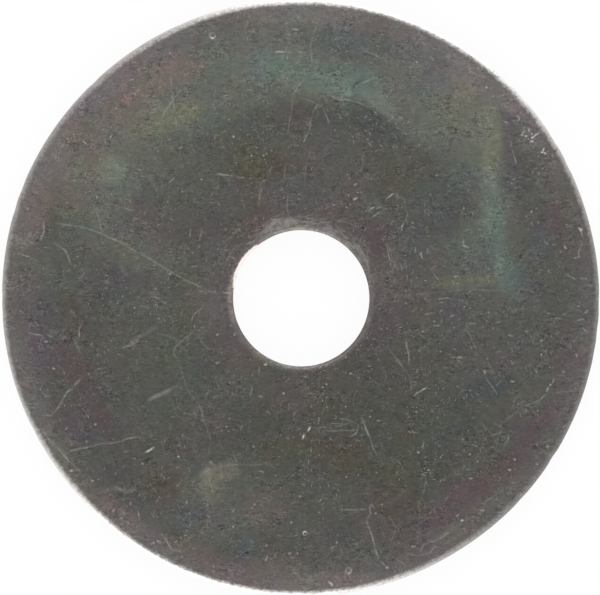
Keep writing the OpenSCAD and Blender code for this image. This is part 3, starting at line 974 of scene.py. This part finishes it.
# Soft fields of colour in the film: tint, place and half sizes in the photograph's pixels, turn, strength
FIELDS = {
    "left, pale": ("haze", 95, 235, 55, 40, 30, 0.35),
    "left of the stripe, paler": ("arch", 470, 236, 14, 28, 0, 0.4),
    "beside the bore, paler": ("haze", 386, 264, 12, 18, 0, 0.4),
    "arch's inner side": ("arch", 200, 124, 24, 12, 20, 0.5),
    "upper left, paler": ("haze", 172, 168, 34, 24, 30, 0.5),
    "left of the bore, paler": ("haze", 152, 256, 26, 22, 0, 0.5),
    "left of the bore, paler low": ("haze", 156, 302, 16, 14, 0, 0.3),
    "right, lighter": ("haze", 470, 258, 38, 32, 0, 0.5),
    "right, lighter below": ("haze", 504, 301, 30, 14, 0, 0.5),
    "beside the stripe": ("dim", 528, 182, 62, 22, -76, 0.75),
    "stripe's sharp side": ("purple", 509, 148, 38, 6, -86, 0.55),
    "upper left, plain": ("grey green", 200, 152, 62, 36, 30, 0.6),
    "low, lighter": ("haze", 224, 498, 42, 40, 0, 0.55),
    "moss low": ("moss", 300, 492, 16, 14, 0, 0.5),
    "dim low": ("dusk", 324, 504, 18, 20, 0, 0.3),
    "left of that, lighter": ("haze", 204, 420, 20, 16, 0, 0.3),
    "left side, straw": ("rose", 72, 160, 44, 34, 50, 0.45),
    "upper left, rose": ("rose", 130, 92, 46, 18, 40, 0.45),
    "top right, pale": ("pale", 452, 66, 56, 22, -38, 0.6),
    "lower right, darker": ("dusk", 380, 410, 110, 76, -20, 0.9),
    "low, darker": ("dusk", 290, 440, 90, 46, 0, 0.5),
    "far right, cooler": ("grey", 470, 330, 70, 70, 0, 0.6),
    "top middle, pale": ("light grey", 300, 14, 60, 10, 0, 0.8),
    "under it, pale": ("pale", 262, 36, 34, 12, 0, 0.3),
    "top left rim": ("mauve", 112, 72, 58, 17, 42, 0.7),
    "left rim, upper": ("rose", 52, 150, 42, 20, 65, 0.75),
    "left rim, middle": ("rose", 28, 212, 36, 16, 80, 0.7),
    "left rim, lower middle": ("rose", 34, 276, 14, 26, 0, 0.22),
    "upper right rim": ("lilac", 482, 80, 56, 8, -40, 0.7),
    "top slate band": ("slate", 346, 42, 46, 13, -8, 0.5),
    "teal, top": ("pale teal", 272, 65, 38, 16, 4, 0.75),
    "teal between": ("mist", 308, 80, 24, 14, 0, 0.45),
    "teal, right of it": ("pale teal", 340, 80, 38, 15, -9, 0.9),
    "teal tail": ("pale teal", 380, 105, 20, 9, -36, 0.5),
    "green in the teal's tail": ("pale green", 378, 99, 14, 8, -36, 0.5),
    "green, left of the teal": ("teal", 214, 76, 30, 12, 12, 0.08),
    "leaf green": ("leaf", 172, 115, 30, 12, 24, 0.75),
    "rust by the leaf green": ("rust", 122, 106, 22, 13, 55, 0.6),
    "rust top left": ("pale rust", 180, 71, 26, 14, 35, 0.55),
    "rust between them": ("pale rust", 150, 82, 28, 11, 36, 0.55),
    "straw between them": ("bright straw", 142, 120, 26, 16, 45, 0.42),
    "rust at the left rim": ("rose", 66, 134, 22, 14, 60, 0.6),
    "green spot's halo": ("straw", 88, 162, 18, 14, 10, 0.6),
    "green spot": ("pale green", 111, 169, 14, 13, -50, 0.7),
    "green streak": ("straw", 84, 212, 24, 8, -15, 0.4),
    "rust right of it": ("rust", 114, 204, 18, 10, 0, 0.3),
    "streak's tail": ("straw", 118, 244, 26, 9, -40, 0.35),
    "teal stripe": ("pale teal", 493, 222, 54, 9, -84, 0.68),
    "stripe's foot": ("pale teal", 506, 274, 18, 10, -75, 0.65),
    "stripe's foot, right": ("teal", 518, 278, 10, 12, 0, 0.3),
    "stripe's green head": ("pale green", 489, 176, 13, 9, -85, 0.5),
    "leaf green above the stripe": ("leaf", 490, 137, 31, 9, -87, 0.9),
    "straw upper right": ("bright straw", 474, 120, 46, 22, -62, 0.4),
    "upper right, pale olive": ("haze", 424, 96, 48, 28, -22, 0.55),
    "rust upper right": ("bright straw", 465, 86, 22, 10, -45, 0.45),
    "leaf green, level": ("leaf", 466, 281, 28, 7, 3, 0.5),
    "slate right": ("slate", 536, 244, 15, 17, 0, 0.6),
    "grey right": ("grey", 520, 326, 30, 26, 0, 0.5),
    "olive right of the bore": ("olive", 420, 324, 20, 22, 0, 0.5),
    "olive right": ("dusk", 444, 350, 16, 14, 0, 0.5),
    "plum right rim": ("plum", 556, 212, 34, 6, -80, 0.55),
    "pale upper right": ("light grey", 532, 136, 14, 14, 0, 0.5),
    "rose right rim": ("dusky rose", 578, 368, 42, 8, 72, 0.35),
    "plum by the right rim": ("plum", 562, 376, 26, 10, 75, 0.35),
    "rose at the right rim": ("dusky rose", 586, 300, 8, 26, 0, 0.25),
    "sea right": ("sea", 448, 192, 28, 36, 0, 0.55),
    "slate left of the stripe": ("slate", 444, 228, 14, 20, 0, 0.4),
    "dark green top": ("deep sea", 372, 123, 30, 11, -35, 0.75),
    "dark green top, left": ("deep sea", 322, 113, 16, 11, 0, 0.4),
    "umber top": ("umber", 272, 166, 22, 14, 10, 0.7),
    "above the bore, paler": ("rust", 300, 154, 20, 14, 0, 0.14),
    "khaki top": ("khaki", 251, 160, 20, 22, 0, 0.85),
    "khaki right of the bore": ("khaki", 394, 186, 14, 16, 0, 0.45),
    "plum at the bore, left": ("plum", 258, 219, 16, 15, 40, 0.9),
    "khaki over it": ("khaki", 250, 204, 14, 12, 0, 0.5),
    "umber left of it": ("umber", 228, 230, 16, 14, 0, 0.5),
    "plum at the bore, top": ("plum", 322, 212, 34, 9, 0, 0.35),
    "haze at the bore": ("bore highlight", 282, 226, 15, 9, 0, 0.5),
    "plum at the bore, right": ("plum", 374, 243, 13, 24, 18, 0.8),
    "purple left of the bore": ("pale", 212, 305, 14, 24, 0, 0.25),
    "plum under the bore": ("dusky rose", 306, 382, 46, 11, 0, 0.12),
    "under the bore, paler": ("bore ring", 288, 397, 30, 14, 0, 0.7),
    "plum right of the bore": ("plum", 388, 320, 20, 30, -20, 0.2),
    "umber under the bore": ("umber", 274, 402, 22, 12, 0, 0.2),
    "purple left": ("purple", 38, 346, 27, 12, -78, 0.65),
    "purple lower left": ("purple", 72, 424, 19, 12, -60, 0.55),
    "umber left": ("umber", 74, 318, 30, 9, -65, 0.6),
    "red brown left": ("plum", 86, 388, 52, 14, -62, 0.8),
    "left, darker again": ("olive", 76, 262, 24, 14, 0, 0.5),
    "left, darker above": ("dim", 106, 280, 26, 16, 0, 0.5),
    "left, darker": ("dusk", 110, 348, 26, 64, 0, 0.4),
    "plum lower left": ("dim", 128, 488, 26, 16, -30, 0.6),
    "umber lower left": ("umber", 162, 480, 18, 13, 0, 0.7),
    "yellow spot": ("sulphur", 207, 473, 6, 11, 0, 0.36),
    "yellow spot, right": ("bright straw", 225, 471, 12, 8, 0, 0.5),
    "yellow spot, lower": ("bright straw", 213, 487, 11, 17, 0, 0.55),
    "umber low": ("rust", 268, 506, 22, 22, 0, 0.25),
    "khaki low": ("khaki", 284, 447, 30, 13, 0, 0.65),
    "umber low right": ("umber", 346, 458, 24, 20, 0, 0.65),
    "khaki lower right": ("khaki", 407, 443, 14, 13, 0, 0.8),
    "umber lower right": ("umber", 398, 504, 24, 24, 0, 0.65),
    "plum lower right": ("wine", 450, 505, 38, 13, 40, 0.8),
    "rose right of it": ("dusky rose", 488, 496, 24, 12, 45, 0.25),
    "rose lower right": ("dusky rose", 466, 520, 24, 12, 35, 0.4),
    "plum right of it": ("plum", 530, 438, 40, 11, 55, 0.7),
    "khaki under it": ("khaki", 388, 470, 30, 10, 0, 0.5),
    "plum between": ("plum", 497, 474, 30, 10, 46, 0.6),
    "haze beside that": ("haze", 468, 467, 14, 13, 0, 0.18),
    "low left rim": ("dusky rose", 206, 563, 56, 10, -25, 0.65),
    "purple bottom": ("plum", 404, 557, 26, 12, 20, 0.7),
    "plum over it": ("plum", 396, 537, 16, 12, 0, 0.5),
    "moss right": ("moss", 448, 416, 28, 22, 0, 0.7),
    "grey beside it": ("grey", 492, 422, 14, 13, 0, 0.4),
    "slate right, lower": ("deep sea", 486, 388, 24, 11, 6, 0.9),
    "moss left": ("grey green", 152, 348, 44, 62, 0, 0.5),
    "olive low left": ("dusk", 124, 396, 24, 12, 0, 0.4),
    "low left, lighter": ("bore ring", 132, 432, 14, 20, 0, 0.4),
    "grey left of the bore, low": ("dim", 206, 374, 16, 14, 0, 0.6),
    "slate bottom left": ("slate", 248, 547, 15, 11, 0, 0.8),
    "haze bottom left": ("haze", 204, 540, 18, 12, 0, 0.25),
    "slate bottom": ("deep sea", 344, 528, 15, 13, 0, 0.6),
    "slate low left": ("slate", 184, 515, 18, 14, 0, 0.5),
    "haze beside it": ("haze", 156, 516, 15, 13, 0, 0.25),
    "bottom rim": ("pale rust", 318, 583, 64, 8, 4, 0.6),
    "rose low": ("rose", 276, 566, 28, 10, 0, 0.35),
    "lower left rim": ("dusky rose", 128, 520, 40, 9, -44, 0.55),
    "left rim, lower": ("straw", 52, 446, 52, 8, -58, 0.6),
    "mauve at the left rim": ("mauve", 36, 398, 20, 10, -65, 0.22),
}


class Nodes:
    """Adds nodes to a shader's tree. An input may be a number, a colour or another node's output."""

    def __init__(self, tree):
        self.tree = tree

    def add(self, kind, inputs=None, output=0, **settings):
        node = self.tree.nodes.new("ShaderNode" + kind)
        for name, value in settings.items():
            setattr(node, name, value)
        for key, value in (inputs or {}).items():
            if isinstance(value, bpy.types.NodeSocket):
                self.tree.links.new(value, node.inputs[key])
            else:
                node.inputs[key].default_value = value
        return node.outputs[output]

    def math(self, operation, a, b=0.0, c=0.0, clamp=False):
        return self.add("Math", {0: a, 1: b, 2: c}, operation=operation, use_clamp=clamp)

    def times(self, *values):
        """The product of some values."""
        found = values[0]
        for value in values[1:]:
            found = self.math("MULTIPLY", found, value)
        return found

    def vector(self, operation, a, b=(0, 0, 0), c=(0, 0, 0), output=0):
        return self.add("VectorMath", {0: a, 1: b, 2: c}, output, operation=operation)

    def blend(self, factor, a, b, how="MIX"):
        """Mixes colours a and b."""
        shown = [(*x, 1) if isinstance(x, tuple) else x for x in (a, b)]
        return self.add("Mix", {0: factor, 6: shown[0], 7: shown[1]}, 2, data_type="RGBA", blend_type=how)

    def ramp(self, value, start, end, low_value=0.0, high_value=1.0):
        """Carries a value from one range to another, smoothly and with level ends."""
        inputs = {0: value, 1: start, 2: end, 3: low_value, 4: high_value}
        return self.add("MapRange", inputs, interpolation_type="SMOOTHSTEP")

    def noise(self, place, scale, detail=2.0, roughness=0.5, output=0):
        inputs = {"Vector": place, "Scale": scale, "Detail": detail, "Roughness": roughness}
        return self.add("TexNoise", inputs, output)

    def cells(self, place, size, flat=True):
        """A pattern of cells: the distance to a cell's point, the offset from it, three random values."""
        voronoi = self.tree.nodes.new("ShaderNodeTexVoronoi")
        voronoi.voronoi_dimensions = "2D" if flat else "3D"
        self.tree.links.new(place, voronoi.inputs["Vector"])
        voronoi.inputs["Scale"].default_value = 1 / size
        offset = self.vector("SUBTRACT", place, voronoi.outputs["Position"])
        dice = self.add("SeparateColor", {0: voronoi.outputs["Color"]}).node.outputs
        return voronoi.outputs["Distance"], offset, dice

    def attribute(self, name):
        return self.add("Attribute", output=2, attribute_name=name)


def oval_group():
    """A node group: how strongly a place lies in a soft oval, which falls to a half at its edge."""
    tree = bpy.data.node_groups.new("soft_oval", "ShaderNodeTree")
    for name, kind in (("Place", "Vector"), ("Along", "Vector"), ("Across", "Vector"), ("Centre", "Vector")):
        tree.interface.new_socket(name, in_out="INPUT", socket_type="NodeSocket" + kind)
    tree.interface.new_socket("Share", in_out="OUTPUT", socket_type="NodeSocketFloat")
    given = tree.nodes.new("NodeGroupInput").outputs
    n = Nodes(tree)
    offset = n.vector("SUBTRACT", given["Place"], given["Centre"])
    along = n.vector("DOT_PRODUCT", offset, given["Along"], output=1)
    across = n.vector("DOT_PRODUCT", offset, given["Across"], output=1)
    gap = n.math("MULTIPLY_ADD", along, along, n.times(across, across))
    tree.links.new(n.ramp(gap, 2.2, 0.0), tree.nodes.new("NodeGroupOutput").inputs["Share"])
    return tree


def oval(n, group, place, x, y, half_x, half_y, turn):
    """How strongly a place lies in an oval that is given in pixels of the photograph."""
    node = n.tree.nodes.new("ShaderNodeGroup")
    node.node_tree = group
    n.tree.links.new(place, node.inputs["Place"])
    c, s = math.cos(math.radians(turn)), math.sin(math.radians(turn))
    node.inputs["Centre"].default_value = (*at(x, y), 0)
    node.inputs["Along"].default_value = (c / (half_x * PIXEL), s / (half_x * PIXEL), 0)
    node.inputs["Across"].default_value = (-s / (half_y * PIXEL), c / (half_y * PIXEL), 0)
    return node.outputs["Share"]


def flecks(n, place, cell, length, width, share, seed):
    """Fine random scratches: some cells of a pattern hold one, at its own angle. Most are faint."""
    _, offset, dice = n.cells(n.vector("ADD", place, (seed * 3.7, seed * 1.9, 0)), cell)
    size = n.math("MULTIPLY_ADD", dice[1], 0.8, 0.2)
    turned = n.add("VectorRotate", {"Vector": offset, "Angle": n.times(dice[0], math.pi * 2)},
                   rotation_type="Z_AXIS")
    parts = n.add("SeparateXYZ", {0: turned}).node.outputs
    bow = n.times(parts[0], parts[0], n.math("SUBTRACT", dice[1], 0.5), 1.6 / length)
    line = n.ramp(n.math("ABSOLUTE", n.math("ADD", parts[1], bow)), width * 0.7, 0.0)
    ends = n.ramp(n.math("DIVIDE", n.math("ABSOLUTE", parts[0]), size), length / 2, length / 5)
    strength = n.math("SUBTRACT", 1.0, n.math("DIVIDE", dice[2], share), clamp=True)
    return n.times(line, ends, strength, strength)


def specks(n, place, cell, size, share, seed):
    """Small specks: some cells of a pattern hold one, and most of them are faint."""
    distance, _, dice = n.cells(n.vector("ADD", place, (seed * 5.3, seed * 2.3, 0)), cell)
    dot = n.ramp(distance, size / cell / 2, size / cell / 8)
    strength = n.math("SUBTRACT", 1.0, n.math("DIVIDE", dice[0], share), clamp=True)
    return n.times(dot, strength, strength)


def streaky(n, way, radius, around, across):
    """Noise in streaks that run round the axis, so fine along and across them, per mm at the bore."""
    out = n.add("CombineXYZ", {2: n.times(radius, across)})
    return n.noise(n.vector("MULTIPLY_ADD", way, (BORE_R * around,) * 3, out), 1.0, 3.0, 0.65)


def ring(n, radius, name):
    """How strongly a place at this distance from the middle lies in one of the rings."""
    begins, full = RINGS[name]
    return n.ramp(radius, begins * PIXEL, full * PIXEL)


def heading(n, way, azimuth):
    """The cosine of the angle between a direction from the axis and that azimuth."""
    a = math.radians(azimuth)
    return n.vector("DOT_PRODUCT", way, (math.cos(a), math.sin(a), 0), output=1)


def film_colour(n, place, upper):
    """The film's colour: a base that drifts, broad rings and then soft fields whose edges wander."""
    drift = n.noise(place, 0.16, 2.0, 0.5)
    colour = n.blend(n.ramp(drift, 0.35, 0.65), TINTS["olive"], TINTS["grey"])
    wander = n.noise(place, 0.35, 3.0, 0.6, output=1)
    warped = n.vector("ADD", place, n.vector("MULTIPLY_ADD", wander, (1.4, 1.4, 0), (-0.7, -0.7, 0)))
    nudged = n.vector("ADD", place, n.vector("MULTIPLY_ADD", wander, (0.5, 0.5, 0), (-0.25, -0.25, 0)))
    mottle = n.times(n.ramp(n.noise(place, 1.3, 3.0, 0.6), 0.25, 0.7, 0.55, 1.15), upper)
    plan = n.vector("MULTIPLY", warped, (1, 1, 0))
    radius = n.vector("LENGTH", plan, output=1)
    arch = n.times(ring(n, radius, "arch, inner side"), ring(n, radius, "arch, outer side"))
    sector = n.ramp(heading(n, n.vector("NORMALIZE", plan), 87), 0.12, 0.50)
    colour = n.blend(n.times(arch, sector, upper, 0.62), colour, TINTS["arch"])
    colour = n.blend(n.times(ring(n, radius, "bore ring"), upper, 0.75), colour, TINTS["bore ring"])
    group = oval_group()
    for tint, x, y, half_x, half_y, turn, strength in FIELDS.values():
        moved = warped if min(half_x, half_y) > NARROW_FIELD else nudged
        share = oval(n, group, moved, x, y, half_x, half_y, turn)
        share = n.math("MULTIPLY", share, n.times(mottle, strength), clamp=True)
        colour = n.blend(share, colour, TINTS[tint])
    return colour


def edge_tints_and_painted_light(n, place, colour, upper):
    """Tints that keep close to the rim and the bore: the haze at the rim, which is partly painted sheen, a
    wispy painted highlight on the bore's upper side and a brassy fringe.
    """
    plan = n.vector("MULTIPLY", place, (1, 1, 0))
    radius = n.vector("LENGTH", plan, output=1)
    way = n.vector("NORMALIZE", plan)
    patchy = n.ramp(n.noise(place, 0.25, 3.0, 0.6), 0.3, 0.7, 0.7, 1.3)
    # Painted sheen: the haze at the rim is weaker where the rim faces the sides of the frame, most on the
    # right, as the light falls
    side_on = heading(n, way, -15)
    patchy = n.times(patchy, n.math("MULTIPLY_ADD", n.times(side_on, side_on), -0.35, 1.05),
                     n.ramp(side_on, 0.5, 1.0, 1.0, 0.65))
    colour = n.blend(n.times(patchy, upper, ring(n, radius, "rim haze and sheen"), 0.78), colour, TINTS["rim haze and sheen"])
    wisps = n.ramp(streaky(n, way, radius, 1.6, 5.0), 0.40, 0.58, 0.10, 1.1)
    colour = n.blend(n.times(ring(n, radius, "bore edge"), upper, 0.7), colour, TINTS["bore edge"])
    # Painted highlight: a lighter ring on the bore's upper side
    above = n.ramp(heading(n, way, 75), 0.45, 0.80)
    colour = n.blend(n.times(ring(n, radius, "bore highlight"), above, wisps, upper), colour, TINTS["bore highlight"])
    left = n.ramp(heading(n, way, 178), 0.91, 0.97)
    return n.blend(n.times(ring(n, radius, "brassy"), left, upper, 0.7), colour, TINTS["brassy"])


def fine_marks(n, place):
    """Fine specks, flecks and hairs, which come in clusters, as shares of bare zinc and of dirt."""
    cluster = n.ramp(n.noise(place, 0.30, 4.0, 0.7), 0.36, 0.68, 0.2, 1.6)
    shake = n.noise(place, 5.0, 1.0, 0.5, output=1)
    shaken = n.vector("ADD", place, n.vector("MULTIPLY_ADD", shake, (0.22, 0.22, 0), (-0.11, -0.11, 0)))
    layers = [
        n.times(specks(n, shaken, cell=0.24, size=0.10, share=0.50, seed=1), 0.20),
        n.times(specks(n, shaken, cell=0.75, size=0.13, share=0.14, seed=2), 0.60),
        n.times(flecks(n, place, cell=0.36, length=0.34, width=0.05, share=0.6, seed=3), 0.40),
        n.times(flecks(n, place, cell=0.9, length=0.75, width=0.05, share=0.7, seed=4), 0.20),
    ]
    light = layers[0]
    for layer in layers[1:]:
        light = n.math("MAXIMUM", light, layer)
    dark = n.times(specks(n, shaken, cell=0.26, size=0.12, share=0.50, seed=5), cluster, 0.40)
    return n.times(light, cluster), dark


def varied(n, colour, hue, spread, least):
    """A colour times random values, which start at the least one and go up by the spread."""
    return n.vector("MULTIPLY", colour, n.vector("MULTIPLY_ADD", hue, spread, least))


def mottled(n, place, colour):
    """Blotches that drift in colour, then fine grain, which is stronger in patches."""
    blotches = n.noise(place, 0.4, 3.0, 0.6, output=1)
    colour = varied(n, colour, blotches, (0.33, 0.27, 0.30), (0.835, 0.865, 0.85))
    fine_hue = n.noise(place, 7.0, 2.0, 0.7, output=1)
    colour = varied(n, colour, fine_hue, (0.10, 0.08, 0.10), (0.95, 0.96, 0.95))
    patch = n.ramp(n.noise(place, 0.6, 3.0, 0.65), 0.42, 0.62, 0.6, 1.7)
    drawn = n.noise(n.vector("MULTIPLY", place, (3.0, 9.0, 1.0)), 1.0, 2.0, 0.6)
    grain = n.math("MULTIPLY_ADD", n.noise(place, 8.5, 2.0, 0.7), 0.95, n.times(drawn, 0.8))
    grain = n.math("MULTIPLY_ADD", n.noise(place, 2.8, 2.0, 0.5), 0.42, grain)
    grain = n.math("MULTIPLY_ADD", n.math("SUBTRACT", grain, 1.075), patch, 1.0)
    return n.add("VectorMath", {0: colour, "Scale": grain}, operation="SCALE")


def rubbed_and_highlit_rim(n, place, rolled, colour):
    """The rim's rolled edge, rubbed bright in patches and with a painted highlight, which is brightest where
    the edge faces up or down the frame and brighter on the left than on the right.
    """
    plan = n.vector("MULTIPLY", place, (1, 1, 0))
    side_on = heading(n, n.vector("NORMALIZE", plan), -21)
    highlight_up_and_down = n.math("POWER", n.math("SUBTRACT", 1.0, n.times(side_on, side_on)), 1.5)
    bare = n.math("MULTIPLY_ADD", n.noise(place, 4.0, 4.0, 0.75), 1.2, n.math("SUBTRACT", rolled, 0.6))
    # Painted highlight: strongest where the rim faces up or down the frame, as the light falls, and stronger
    # on the left
    rub = n.math("MULTIPLY_ADD", highlight_up_and_down, 0.79, n.ramp(side_on, -1.0, 1.0, 0.34, 0.17))
    rub = n.times(n.ramp(bare, 0.05, 1.0), rub, n.ramp(rolled, 0.0, 0.3))
    rub = n.times(rub, n.ramp(n.vector("LENGTH", plan, output=1), 10.0, 14.0))
    return n.blend(rub, colour, RUB_AND_HIGHLIGHT_ZINC)


def marked(n, place, bared, colour):
    """Bare zinc in the marks, broken up, with painted glints, a painted dark fill in the dark marks and
    painted shade beside them.
    """
    broken = n.ramp(n.noise(place, 4.5, 2.0, 0.6), 0.30, 0.62, 0.45, 1.30)
    colour = n.blend(n.math("MULTIPLY", bared, n.times(broken, 0.6), clamp=True), colour, ZINC)
    # Painted glint: a brightness well above 1 turns the mark near white
    colour = n.blend(n.ramp(bared, 1.2, 2.0), colour, RUB_AND_HIGHLIGHT_ZINC)
    # Painted dark fill in the dark marks, and painted shade beside the marks
    return n.blend(n.math("MULTIPLY", bared, n.times(broken, -0.8), clamp=True), colour, DIRT_AND_SHADE)


def worn_off(n, place, worn):
    """How far the film is gone at the worn lip, with a ragged edge."""
    ragged = n.math("MULTIPLY_ADD", n.noise(place, 6.0, 3.0, 0.7), 1.5, n.math("SUBTRACT", worn, 0.75))
    return n.times(n.ramp(ragged, 0.50, 1.05), n.ramp(worn, 0.0, 0.3))


BUMP_DEPTH = 0.000006


def uneven_surface(n, place, land, torn):
    """Bump: drawn streaks down the straight bands, coarse on the torn ones and fine on the faces."""
    streaks = n.noise(n.vector("MULTIPLY", place, (9, 9, 0.8)), 1.0, 2.0, 0.6)
    relief = n.times(n.noise(place, 5.0, 3.0, 0.65), n.math("MULTIPLY_ADD", torn, 2.5, 1.0))
    relief = n.math("MULTIPLY_ADD", streaks, n.times(land, 0.8), relief)
    return n.add("Bump", {"Strength": 1.0, "Distance": BUMP_DEPTH, "Height": relief})


def worn_zinc_with_painted_light():
    """Zinc plate under a thin, dull film with faint bands of colour, scratched and rubbed at the edges, with
    painted highlights, glints and shade.
    """
    material = bpy.data.materials.new("worn_zinc_with_painted_light")
    material.use_nodes = True
    tree = material.node_tree
    shader = tree.nodes["Principled BSDF"]
    n = Nodes(tree)
    place = n.vector("MULTIPLY", n.add("TexCoord", output=3), (1 / MM,) * 3)
    bared, worn, rolled, land, torn, upper = (n.attribute(name) for name in ZONES)
    wall = n.math("ADD", land, torn, clamp=True)
    flat = n.math("SUBTRACT", 1.0, wall)

    colour = mottled(n, place, edge_tints_and_painted_light(n, place, film_colour(n, place, upper), upper))
    light, dark = fine_marks(n, place)
    colour = n.blend(n.times(dark, flat), colour, DIRT_AND_SHADE)
    colour = n.blend(n.times(light, flat), colour, ZINC)
    colour = n.blend(n.times(wall, 0.55), colour, DULL_ZINC)
    # The rim's rolled edge gets its painted highlight here, and the marks their painted glints and shade
    colour = marked(n, place, bared, rubbed_and_highlit_rim(n, place, rolled, colour))
    gone = worn_off(n, place, worn)
    colour = n.blend(gone, colour, n.blend(land, WORN_ZINC, BRIGHT_ZINC))
    tree.links.new(colour, shader.inputs["Base Color"])
    shader.inputs["Metallic"].default_value = 1.0

    roughness = n.ramp(n.noise(place, 2.2, 3.0, 0.6), 0.3, 0.7, 0.34, 0.46)
    roughness = n.math("MULTIPLY_ADD", n.math("MAXIMUM", bared, gone), -0.10, roughness)
    roughness = n.math("MULTIPLY_ADD", torn, 0.12, roughness)
    tree.links.new(roughness, shader.inputs["Roughness"])
    tree.links.new(uneven_surface(n, place, land, torn), shader.inputs["Normal"])
    return material


washer.data.materials.append(worn_zinc_with_painted_light())
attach(washer, "root")
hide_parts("washer")


# Stage, in metres: how far the floor lies below the washer, and how much of it glows by itself
FLOOR_SIZE = 3.0
FLOOR_DROP = 0.00002
FLOOR_GLOW = 0.93
CAMERA_DISTANCE = 0.4
SENSOR_W = 36

# Lamps: azimuth, elevation, distance, width and height in metres, and power in watts
LAMPS = {
    "low_panel_below": (-100, 17, 0.5, 0.60, 0.24, 0.68),
    "low_panel_above": (75, 17, 0.5, 0.54, 0.24, 0.60),
    "soft_key": (100, 55, 0.6, 0.30, 0.30, 0.50),
    "soft_fill": (-80, 52, 0.6, 0.30, 0.30, 0.32),
}


def white_floor():
    """A pale floor that shows as white where it is lit, and keeps a soft shadow."""
    material = bpy.data.materials.new("pale_floor")
    material.use_nodes = True
    tree = material.node_tree
    tree.nodes.remove(tree.nodes["Principled BSDF"])
    n = Nodes(tree)
    lit = n.add("BsdfDiffuse", {"Color": (0.9, 0.9, 0.9, 1)})
    glow = n.add("Emission", {"Color": (1, 1, 1, 1), "Strength": 1.0})
    path = n.add("LightPath").node.outputs
    seen = n.math("MAXIMUM", path["Is Camera Ray"], path["Is Glossy Ray"])
    seen = n.math("MAXIMUM", seen, path["Is Transmission Ray"])
    mixed = n.add("MixShader", {0: n.math("MULTIPLY", seen, FLOOR_GLOW), 1: lit, 2: glow})
    tree.links.new(mixed, tree.nodes["Material Output"].inputs["Surface"])
    return material


def make_floor():
    """A plain square under the washer."""
    half = FLOOR_SIZE / 2
    corners = [(-half, -half, 0), (half, -half, 0), (half, half, 0), (-half, half, 0)]
    mesh = bpy.data.meshes.new("floor")
    mesh.from_pydata(corners, [], [(0, 1, 2, 3)])
    floor = bpy.data.objects.new("floor", mesh)
    floor.location.z = -FLOOR_DROP
    mesh.materials.append(white_floor())
    bpy.context.scene.collection.objects.link(floor)


def make_world():
    """A plain studio sky: white at the horizon and a little darker overhead."""
    world = bpy.data.worlds.new("studio")
    world.use_nodes = True
    n = Nodes(world.node_tree)
    up = n.add("SeparateXYZ", {0: n.add("TexCoord", output=0)}).node.outputs[2]
    sky = n.ramp(up, 0.35, 0.95, 1.0, 0.82)
    world.node_tree.links.new(sky, world.node_tree.nodes["Background"].inputs["Strength"])
    world.node_tree.nodes["Background"].inputs["Color"].default_value = (1, 1, 1, 1)
    bpy.context.scene.world = world


def lamp(name, azimuth, elevation, distance, width, height, watts):
    """An area lamp aimed at the washer. Azimuth runs from +X towards +Y."""
    light = bpy.data.lights.new(name, "AREA")
    light.shape = "RECTANGLE"
    light.size = width
    light.size_y = height
    light.energy = watts
    thing = bpy.data.objects.new(name, light)
    a, e = math.radians(azimuth), math.radians(elevation)
    way = Vector((math.cos(a) * math.cos(e), math.sin(a) * math.cos(e), math.sin(e)))
    thing.location = way * distance
    thing.rotation_euler = way.to_track_quat("Z", "Y").to_euler()
    bpy.context.scene.collection.objects.link(thing)


def make_camera():
    """Straight above, far enough off to look square on, and framed as the photograph is."""
    frame_w = FRAME_W * PIXEL * MM
    data = bpy.data.cameras.new("camera")
    data.sensor_width = SENSOR_W
    data.lens = SENSOR_W * (CAMERA_DISTANCE - THICK * MM) / frame_w
    camera = bpy.data.objects.new("camera", data)
    x, y = at((FRAME_W - 1) / 2, (FRAME_H - 1) / 2)
    camera.location = (x * MM, y * MM, CAMERA_DISTANCE)
    data.clip_start = 0.01
    data.clip_end = 10
    bpy.context.scene.collection.objects.link(camera)
    bpy.context.scene.camera = camera


make_floor()
make_world()
for lamp_name, setting in LAMPS.items():
    lamp(lamp_name, *setting)
make_camera()
bpy.context.scene.view_settings.view_transform = "Standard"
